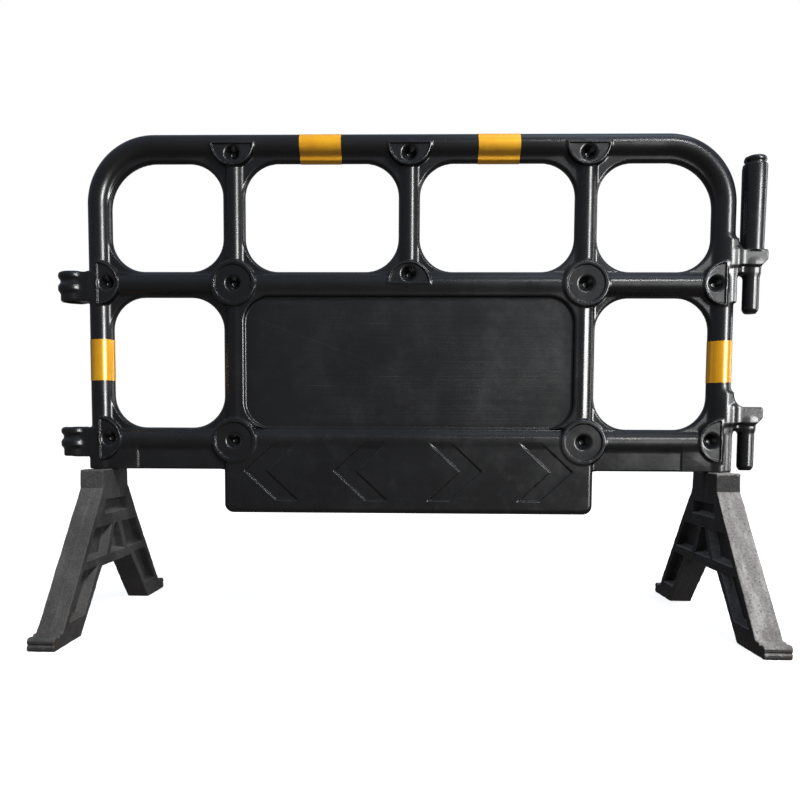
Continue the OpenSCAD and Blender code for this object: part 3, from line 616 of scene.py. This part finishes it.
chance = np.random.RandomState(7)
WAVES = []
for pitch, size in ((70, 0.14), (46, 0.1), (31, 0.08), (21, 0.06), (14, 0.05), (10, 0.04)):
    for _ in range(3):
        way = chance.normal(size=3)
        way = way / np.linalg.norm(way) * 2 * math.pi / pitch
        WAVES.append([float(c) for c in way] + [float(chance.uniform(0, 6.28)), size])

# ---------------------------------------------------------------- materials


class Nodes:
    """Short calls for building a material's nodes."""

    def __init__(self, name):
        self.material = bpy.data.materials.new(name)
        self.material.use_nodes = True
        self.tree = self.material.node_tree
        self.shader = self.tree.nodes["Principled BSDF"]
        self.place = self.tree.nodes.new("ShaderNodeTexCoord").outputs["Object"]

    def add(self, kind, inputs=(), **settings):
        node = self.tree.nodes.new("ShaderNode" + kind)
        for key, value in settings.items():
            setattr(node, key, value)
        for key, value in dict(inputs).items():
            if isinstance(value, bpy.types.NodeSocket):
                self.tree.links.new(value, node.inputs[key])
            else:
                node.inputs[key].default_value = value
        return node

    def math(self, operation, a, b=0.0, c=0.0):
        return self.add("Math", {0: a, 1: b, 2: c}, operation=operation).outputs[0]

    def scaled(self, scale, turn=(0, 0, 0)):
        return self.add("Mapping", {"Vector": self.place, "Scale": scale,
                                    "Rotation": turn}).outputs["Vector"]

    def noise(self, scale, detail=4.0, rough=0.55, vector=None):
        return self.add("TexNoise", {"Vector": vector or self.place, "Scale": scale,
                                     "Detail": detail, "Roughness": rough}).outputs["Fac"]

    def ramp(self, value, low, high, to_low=0.0, to_high=1.0):
        return self.add("MapRange", {"Value": value, "From Min": low, "From Max": high,
                                     "To Min": to_low, "To Max": to_high},
                        interpolation_type="SMOOTHSTEP").outputs["Result"]

    def mix(self, share, a, b):
        node = self.add("Mix", data_type="RGBA")
        for socket, value in zip((node.inputs[0], node.inputs[6], node.inputs[7]), (share, a, b)):
            if isinstance(value, bpy.types.NodeSocket):
                self.tree.links.new(value, socket)
            else:
                socket.default_value = value
        return node.outputs[2]

    def bump(self, height, strength, distance, normal=None):
        inputs = {"Height": height, "Strength": strength, "Distance": distance}
        if normal is not None:
            inputs["Normal"] = normal
        return self.add("Bump", inputs).outputs["Normal"]

    def axes(self):
        return self.add("SeparateXYZ", {0: self.place}).outputs

    def join(self, socket, value):
        if isinstance(value, bpy.types.NodeSocket):
            self.tree.links.new(value, self.shader.inputs[socket])
        else:
            self.shader.inputs[socket].default_value = value


def grey(value, warm=0.0):
    return (value * (1 + warm), value, value * (1 - warm), 1.0)


def black_moulding():
    """Glossy black polyethylene with brushed mould marks, scuffs, dust and worn edges."""
    m = Nodes("black_polyethylene")
    x, _, z = m.axes()
    worn = m.add("Attribute", attribute_name="worn").outputs["Fac"]
    # brushed marks run along the flat board and, fainter, over the rest
    lines = m.noise(1.0, 3.0, 0.6, m.scaled((3.0, 30.0, 420.0)))
    fine = m.noise(1.0, 2.0, 0.5, m.scaled((16.0, 60.0, 1500.0)))
    lines = m.math("ADD", m.math("MULTIPLY", lines, 0.65), m.math("MULTIPLY", fine, 0.35))
    on_x = m.ramp(m.math("ABSOLUTE", x), BOARD_X * MM - 0.03, BOARD_X * MM - 0.005, 1.0, 0.0)
    mid = (BOARD_TOP + BOARD_LOW) / 2 * MM
    half = (BOARD_TOP - BOARD_LOW) / 2 * MM
    on_z = m.ramp(m.math("ABSOLUTE", m.math("SUBTRACT", z, mid)), half - 0.012, half, 1.0, 0.0)
    patches = m.ramp(m.noise(6.0, 3.0), 0.38, 0.66, 0.35, 1.0)
    board = m.math("MULTIPLY", m.math("MULTIPLY", on_x, on_z), patches)
    brushed = m.math("ADD", m.math("MULTIPLY", board, 0.85), 0.15)
    # short random scratches in two directions
    scratch = None
    for turn, scale, cut in ((0.5, (4, 40, 260), 0.70), (-0.9, (5, 40, 340), 0.72)):
        found = m.ramp(m.noise(1.0, 2.0, 0.5, m.scaled(scale, (0, turn, 0))), cut, cut + 0.05)
        scratch = found if scratch is None else m.math("MAXIMUM", scratch, found)
    smudge = m.ramp(m.noise(9.0, 5.0, 0.6), 0.45, 0.75)
    scratch = m.math("MULTIPLY", scratch, smudge)
    edge = m.ramp(m.math("ADD", worn, m.math("MULTIPLY", m.noise(60.0, 4.0), 0.35)), 0.42, 0.85)
    dust = m.math("MULTIPLY", m.ramp(m.noise(34.0, 6.0, 0.7), 0.48, 0.8),
                  m.ramp(z, 0.18, 0.62, 0.8, 0.25))
    colour = m.mix(m.ramp(m.noise(4.0, 3.0), 0.3, 0.7), (0.0052, 0.0054, 0.0060, 1),
                   (0.0085, 0.0087, 0.0092, 1))
    colour = m.mix(m.math("MULTIPLY", dust, 0.07), colour, grey(0.075, 0.02))
    colour = m.mix(m.math("MULTIPLY", scratch, 0.22), colour, grey(0.09))
    colour = m.mix(m.math("MULTIPLY", edge, 0.16), colour, grey(0.11))
    rough = m.math("ADD", 0.25, m.math("MULTIPLY", smudge, 0.10))
    rough = m.math("ADD", rough, m.math("MULTIPLY", m.math("MULTIPLY", lines, brushed), 0.16))
    rough = m.math("ADD", rough, m.math("MULTIPLY", scratch, 0.2))
    rough = m.math("ADD", rough, m.math("MULTIPLY", dust, 0.10))
    normal = m.bump(m.math("MULTIPLY", lines, brushed), 0.7, 0.0005)
    normal = m.bump(m.noise(170.0, 3.0), 0.10, 0.0003, normal)
    normal = m.bump(m.noise(26.0, 2.0), 0.16, 0.0016, normal)
    normal = m.bump(m.math("MULTIPLY", scratch, -1.0), 0.3, 0.0003, normal)
    m.join("Base Color", colour)
    m.join("Roughness", rough)
    m.join("Normal", normal)
    m.join("Specular IOR Level", 0.5)
    return m.material


def amber_tape():
    """Amber reflective film: a fine cell pattern under a clear, slightly creased face."""
    m = Nodes("amber_reflective_film")
    cells = m.add("TexVoronoi", {"Vector": m.place, "Scale": 420.0, "Randomness": 0.25},
                  feature="DISTANCE_TO_EDGE").outputs["Distance"]
    wall = m.ramp(cells, 0.02, 0.12, 1.0, 0.0)
    tint = m.ramp(m.noise(30.0, 4.0), 0.3, 0.75)
    colour = m.mix(tint, (0.82, 0.37, 0.006, 1), (0.92, 0.47, 0.010, 1))
    colour = m.mix(m.math("MULTIPLY", wall, 0.30), colour, (0.55, 0.20, 0.004, 1))
    dirt = m.ramp(m.noise(60.0, 6.0, 0.7), 0.60, 0.78)
    colour = m.mix(m.math("MULTIPLY", dirt, 0.30), colour, (0.20, 0.09, 0.015, 1))
    creases = m.noise(1.0, 3.0, 0.5, m.scaled((90, 90, 25)))
    normal = m.bump(cells, 0.10, 0.0002)
    normal = m.bump(creases, 0.22, 0.0006, normal)
    m.join("Base Color", colour)
    m.join("Metallic", 0.25)
    m.join("Roughness", m.math("ADD", 0.33, m.math("MULTIPLY", dirt, 0.25)))
    m.join("Coat Weight", 0.45)
    m.join("Coat Roughness", 0.12)
    m.join("Normal", normal)
    return m.material


def crumb_rubber(name, dark, light, dust_and_light):
    """Moulded recycled rubber: dark, speckled and rough, with brown dirt, and pale dust on upward
    faces that is partly painted light.
    """
    m = Nodes(name)
    z = m.axes()["Z"]
    worn = m.add("Attribute", attribute_name="worn").outputs["Fac"]
    facing = m.add("SeparateXYZ", {0: m.add("TexCoord").outputs["Normal"]}).outputs["Z"]
    upward_dust_and_light = m.ramp(facing, 0.12, 0.52)
    blotch = m.ramp(m.noise(16.0, 6.0, 0.65), 0.35, 0.68)
    grain = m.noise(300.0, 4.0, 0.7)
    crumbs = m.add("TexVoronoi", {"Vector": m.place, "Scale": 240.0}, feature="F1")
    crumb = m.ramp(crumbs.outputs["Distance"], 0.1, 0.7)
    flecks = m.ramp(m.noise(420.0, 2.0, 0.5), 0.58, 0.72)
    specks = m.ramp(m.noise(260.0, 3.0, 0.6), 0.56, 0.66)
    streaks = m.ramp(m.noise(1.0, 5.0, 0.65, m.scaled((60, 12, 12))), 0.42, 0.72)
    colour = m.mix(blotch, grey(dark * 0.8), grey(dark * 2.3, 0.02))
    colour = m.mix(m.math("MULTIPLY", crumb, 0.35), colour, grey(dark * 0.45))
    dust = m.math("ADD", m.math("MULTIPLY", streaks, 0.35), m.math("MULTIPLY", grain, 0.75))
    # pale dust on upward-facing faces; its strength is partly painted light standing in for the key
    # light on those faces
    dust = m.math("MULTIPLY", dust, m.math("ADD", 0.07, m.math("MULTIPLY", upward_dust_and_light, dust_and_light)))
    colour = m.mix(dust, colour, grey(light, 0.05))
    colour = m.mix(m.math("MULTIPLY", m.math("MULTIPLY", specks, upward_dust_and_light), 0.55), colour, grey(dark))
    colour = m.mix(m.math("MULTIPLY", flecks, 0.22), colour, grey(light * 0.8, 0.05))
    edge = m.ramp(m.math("ADD", worn, m.math("MULTIPLY", m.noise(90.0, 4.0), 0.4)), 0.45, 0.9)
    colour = m.mix(m.math("MULTIPLY", edge, 0.3), colour, grey(light * 0.7, 0.10))
    soil = m.math("MULTIPLY", m.ramp(z, 0.0, 0.075, 1.0, 0.0), m.ramp(m.noise(45.0, 5.0), 0.4, 0.7))
    colour = m.mix(m.math("MULTIPLY", soil, 0.6), colour, (0.055, 0.036, 0.024, 1))
    normal = m.bump(crumb, 0.35, 0.0007)
    normal = m.bump(grain, 0.5, 0.0009, normal)
    normal = m.bump(m.noise(55.0, 5.0, 0.65), 0.5, 0.0026, normal)
    m.join("Base Color", colour)
    m.join("Roughness", m.math("ADD", 0.62, m.math("MULTIPLY", grain, 0.3)))
    m.join("Specular IOR Level", 0.35)
    m.join("Normal", normal)
    return m.material


# ---------------------------------------------------------------- the pieces

everything_lo, everything_hi = [[c / MM for c in corner] for corner in cad_box]

panel = moulding(
    "panel_moulding", panel_field,
    (everything_lo[0] - 3, -PAD_T - 1, KICK_Z - 1),
    (everything_hi[0] + 3, PAD_T + 1, everything_hi[2]), 0.24)
panel.data.materials.append(black_moulding())
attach(panel, "panel")
FEET = ("left_foot", "right_foot")
BANDS = [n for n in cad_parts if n.startswith("reflective_band")]
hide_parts(*[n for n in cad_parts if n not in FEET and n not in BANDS])

# the two feet are one rubber: the right copy's paler upward faces are partly dust and partly
# painted light, and its darker base is partly painted shade on the side facing away from the key
for name, side, finish in (
    ("left_foot", -1, crumb_rubber("dark_shaded_front_crumb_rubber", 0.028, 0.13, 0.60)),
    ("right_foot", 1, crumb_rubber("dusty_lit_front_crumb_rubber", 0.014, 0.38, 1.25)),
):
    foot = moulding(
        name + "_rubber", foot_field, (-FOOT_HALF - 2, -TOE - 2, 0),
        (FOOT_HALF + 2, TOE + 2, FOOT_TOP + 1), 0.35, (side * FOOT_X, 0, 0))
    foot.data.materials.append(finish)
    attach(foot, name)
    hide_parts(name)

# ---------------------------------------------------------------- reflective tapes

TAPE_LIFT, TAPE_T, TAPE_LAP = 0.06, 0.42, 0.38
TAPE_TURNS, TAPE_ROWS, TAPE_REACH = 180, 14, 45.0


def tape(name, node, along, finish):
    """A strip of film wrapped once round the tube where a band node is."""
    low, high = box_mm(node)
    on_x = (low[0] + high[0]) / 2
    middle = HOOP_Z if along == 0 else math.copysign(HOOP_X, on_x)
    rows = np.linspace(low[along], high[along], TAPE_ROWS)
    turn = np.arange(TAPE_TURNS) * 2 * math.pi / TAPE_TURNS
    radii = np.arange(6.0, TAPE_REACH, 0.5)
    across, back = np.cos(turn), np.sin(turn)
    skew = 0.35 * np.sin(turn * 2 + on_x)[None, :]
    a = np.broadcast_to(rows[:, None] + skew, (TAPE_ROWS, TAPE_TURNS))
    u = middle + across[None, :, None] * radii
    v = back[None, :, None] * radii
    length = np.broadcast_to(a[:, :, None], (TAPE_ROWS, TAPE_TURNS, len(radii)))
    u, v = np.broadcast_to(u, length.shape), np.broadcast_to(v, length.shape)
    f = panel_field(length, v, u) if along == 0 else panel_field(u, v, length)
    first = np.argmax(f > 0, axis=2)
    f0 = np.take_along_axis(f, first[:, :, None] - 1, 2)[:, :, 0]
    f1 = np.take_along_axis(f, first[:, :, None], 2)[:, :, 0]
    r = radii[first - 1] + 0.5 * f0 / (f0 - f1)
    lap = np.clip((turn - 1.75) / 0.04, 0, 1) * np.clip((2.25 - turn) / 0.15, 0, 1) * TAPE_LAP
    points = []
    for lift in (TAPE_T + lap[None, :], TAPE_LIFT):
        u, v = middle + across * (r + lift), back * (r + lift)
        points.append(np.stack([a, v, u] if along == 0 else [u, v, a], 2).reshape(-1, 3))
    faces, skin = [], TAPE_ROWS * TAPE_TURNS
    for i in range(TAPE_ROWS - 1):
        for j in range(TAPE_TURNS):
            k = (j + 1) % TAPE_TURNS
            quad = (i * TAPE_TURNS + j, i * TAPE_TURNS + k, (i + 1) * TAPE_TURNS + k,
                    (i + 1) * TAPE_TURNS + j)
            quad = quad if along == 0 else quad[::-1]
            faces += [quad[::-1], tuple(skin + c for c in quad)]
    for i, flip in ((0, along == 0), (TAPE_ROWS - 1, along != 0)):
        for j in range(TAPE_TURNS):
            k = (j + 1) % TAPE_TURNS
            quad = (i * TAPE_TURNS + j, i * TAPE_TURNS + k, skin + i * TAPE_TURNS + k,
                    skin + i * TAPE_TURNS + j)
            faces.append(quad[::-1] if flip else quad)
    mesh = write_mesh(name, np.concatenate(points) * MM, faces)
    face_count = 2 * (TAPE_ROWS - 1) * TAPE_TURNS
    mesh.polygons.foreach_set("use_smooth", np.arange(len(faces)) < face_count)
    mesh.update()
    mesh.materials.append(finish)
    made = add_object(name, mesh)
    mesh.set_sharp_from_angle(angle=math.radians(50))
    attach(made, "panel")
    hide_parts(node)
    return made


amber = amber_tape()
for node in BANDS:
    tape(node.replace("reflective_band", "amber_tape"), node, 2 if "post" in node else 0, amber)

# ---------------------------------------------------------------- light, floor and background

scene = bpy.context.scene
scene.view_settings.view_transform = "Standard"

world = bpy.data.worlds.new("studio")
world.use_nodes = True
tree = world.node_tree
seen = tree.nodes["Background"]
seen.inputs["Color"].default_value = (1.0, 1.0, 1.0, 1.0)
room = tree.nodes.new("ShaderNodeBackground")
# dim room, brighter and bluer overhead
way = tree.nodes.new("ShaderNodeSeparateXYZ")
tree.links.new(tree.nodes.new("ShaderNodeTexCoord").outputs["Generated"], way.inputs[0])
blend = tree.nodes.new("ShaderNodeValToRGB")
tree.links.new(way.outputs["Z"], blend.inputs["Fac"])
blend.color_ramp.elements[0].position = 0.0
blend.color_ramp.elements[0].color = (0.66, 0.64, 0.66, 1)
blend.color_ramp.elements[1].position = 0.8
blend.color_ramp.elements[1].color = (0.95, 1.15, 1.5, 1)
tree.links.new(blend.outputs["Color"], room.inputs["Color"])
room.inputs["Strength"].default_value = 0.24
chosen = tree.nodes.new("ShaderNodeMixShader")
tree.links.new(tree.nodes.new("ShaderNodeLightPath").outputs["Is Camera Ray"], chosen.inputs[0])
tree.links.new(room.outputs[0], chosen.inputs[1])
tree.links.new(seen.outputs[0], chosen.inputs[2])
tree.links.new(chosen.outputs[0], tree.nodes["World Output"].inputs["Surface"])
scene.world = world


def softbox(name, place, aim, width, height, radiance):
    """A rectangular area light at a place, turned towards a point."""
    data = bpy.data.lights.new(name, "AREA")
    data.shape = "RECTANGLE"
    data.size, data.size_y = width, height
    data.energy = radiance * math.pi * width * height
    lamp = bpy.data.objects.new(name, data)
    scene.collection.objects.link(lamp)
    lamp.location = place
    lamp.rotation_euler = (Vector(aim) - Vector(place)).to_track_quat("-Z", "Y").to_euler()
    return lamp


AIM = (0.0, 0.0, 0.45)
# a far strip for the long glints on the posts, and one higher up for those on the rails
posts = softbox("post_light", (5.2, -6.0, 1.55), AIM, 1.9, 2.9, 46.0)
posts.visible_diffuse = False
rails = softbox("rail_light", (1.92, -3.7, 3.57), AIM, 1.1, 0.45, 44.0)
rails.visible_diffuse = False
# the main soft light on tapes and rubber
key = softbox("key_light", (1.2, -1.82, 2.83), AIM, 0.9, 0.7, 72.0)
key.visible_glossy = False
softbox("rim_light", (2.7, 0.6, 0.9), (0.0, 0.0, 0.4), 0.35, 2.0, 7.0)
top = softbox("top_light", (0.9, -0.2, 2.9), (0.0, 0.0, 0.4), 1.6, 1.2, 1.2)
top.data.color = (0.75, 0.87, 1.0)

FLOOR_HALF, FLOOR_Z = 12, -0.0004
floor = add_object("floor", write_mesh(
    "floor", [(a * FLOOR_HALF, b * FLOOR_HALF, FLOOR_Z)
              for a, b in ((-1, -1), (1, -1), (1, 1), (-1, 1))], [(0, 1, 2, 3)]))
m = Nodes("white_floor")
far = m.add("VectorMath", {0: m.place}, operation="LENGTH").outputs["Value"]
m.join("Base Color", (0.5, 0.5, 0.5, 1))
m.join("Roughness", 1.0)
m.join("Emission Color", (1.0, 1.0, 1.0, 1))
m.join("Emission Strength", m.ramp(far, 0.8, 2.2, 0.86, 1.0))
floor.data.materials.append(m.material)
floor.visible_diffuse = False
floor.visible_glossy = False
